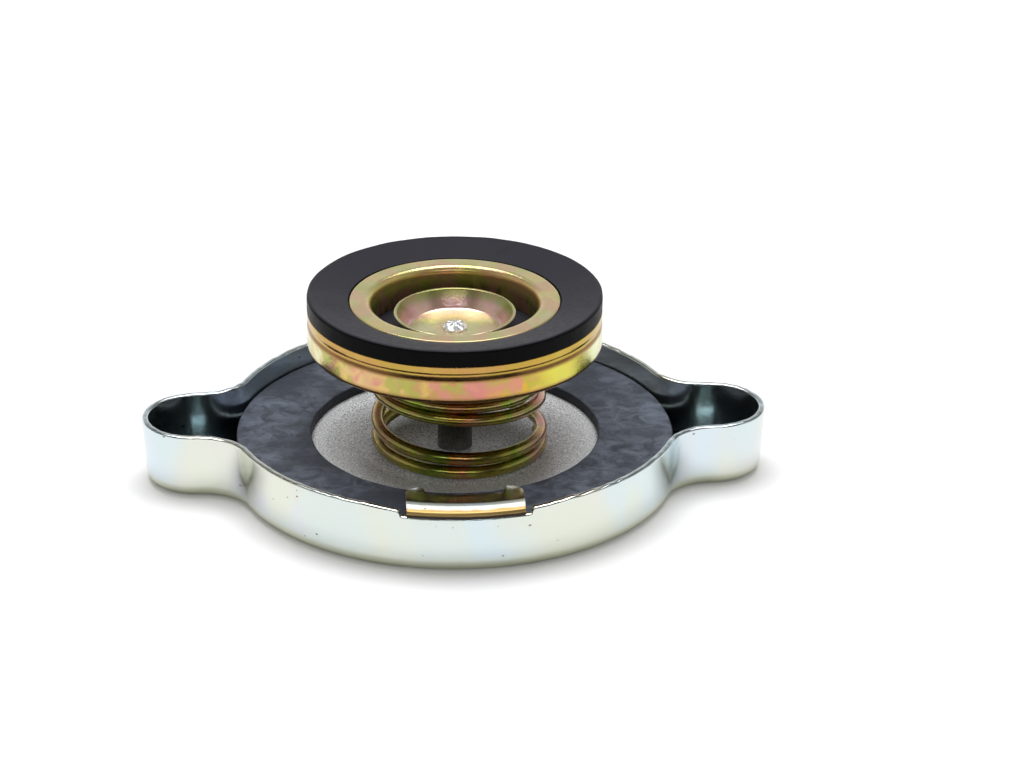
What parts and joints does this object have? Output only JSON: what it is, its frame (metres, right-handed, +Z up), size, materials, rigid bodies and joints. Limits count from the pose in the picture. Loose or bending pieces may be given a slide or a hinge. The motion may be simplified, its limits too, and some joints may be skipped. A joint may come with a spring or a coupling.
{
  "type": "radiator cap",
  "caption": "Pressed-steel radiator cap with two turning ears, neck gasket, spring-loaded pressure valve and a small vacuum valve in its middle.",
  "frame": {"origin": "stem axis at the underside of the crown, which the cap lies on", "axes": "+Z up the stem from the crown towards the pressure seal, +X from the middle to one ear, tabs at -Y and +Y"},
  "size_m": [0.0898, 0.0658, 0.0282],
  "materials": {
    "bright_zinc": "bright zinc plate with a clear passivate",
    "galvanised_steel": "matt galvanised",
    "gasket_rubber": "dusty moulded rubber",
    "post_steel": "dark plain steel",
    "spring_wire": "olive and yellow chromate",
    "yellow_zinc": "yellow zinc chromate, iridescent",
    "seal_rubber": "smooth black rubber",
    "pin_steel": "bare riveted steel"
  },
  "bodies": {
    "cap": {"shell": "bright_zinc", "spring_disc": "galvanised_steel", "neck_gasket": "gasket_rubber", "post": "post_steel"},
    "pressure_coil": {"pressure_spring": "spring_wire"},
    "pressure_valve": {"valve_cup": "yellow_zinc", "seal_support": "yellow_zinc", "valve_seal": "seal_rubber", "seal_ferrule": "yellow_zinc", "guide_plate": "yellow_zinc", "vacuum_seat": "seal_rubber", "vacuum_spring": "spring_wire"},
    "vacuum_valve": {"vacuum_disc": "yellow_zinc", "vacuum_pin": "pin_steel", "vacuum_retainer": "pin_steel"}
  },
  "joints": [
    {"name": "valve_spin", "type": "hinge", "parent": "cap", "child": "pressure_coil", "pos_m": [0, 0, 0], "axis": [0, 0, 1], "continuous": true},
    {"name": "pressure_slide", "type": "slide", "parent": "pressure_coil", "child": "pressure_valve", "axis": [0, 0, 1], "range_m": [-0.004, 0], "stiffness_N_per_m": 5000, "springref_m": 0.018, "deforming": ["pressure_spring"]},
    {"name": "vacuum_slide", "type": "slide", "parent": "pressure_valve", "child": "vacuum_valve", "axis": [0, 0, 1], "range_m": [0, 0.0015], "stiffness_N_per_m": 100, "springref_m": -0.003, "deforming": ["vacuum_spring"]}
  ]
}
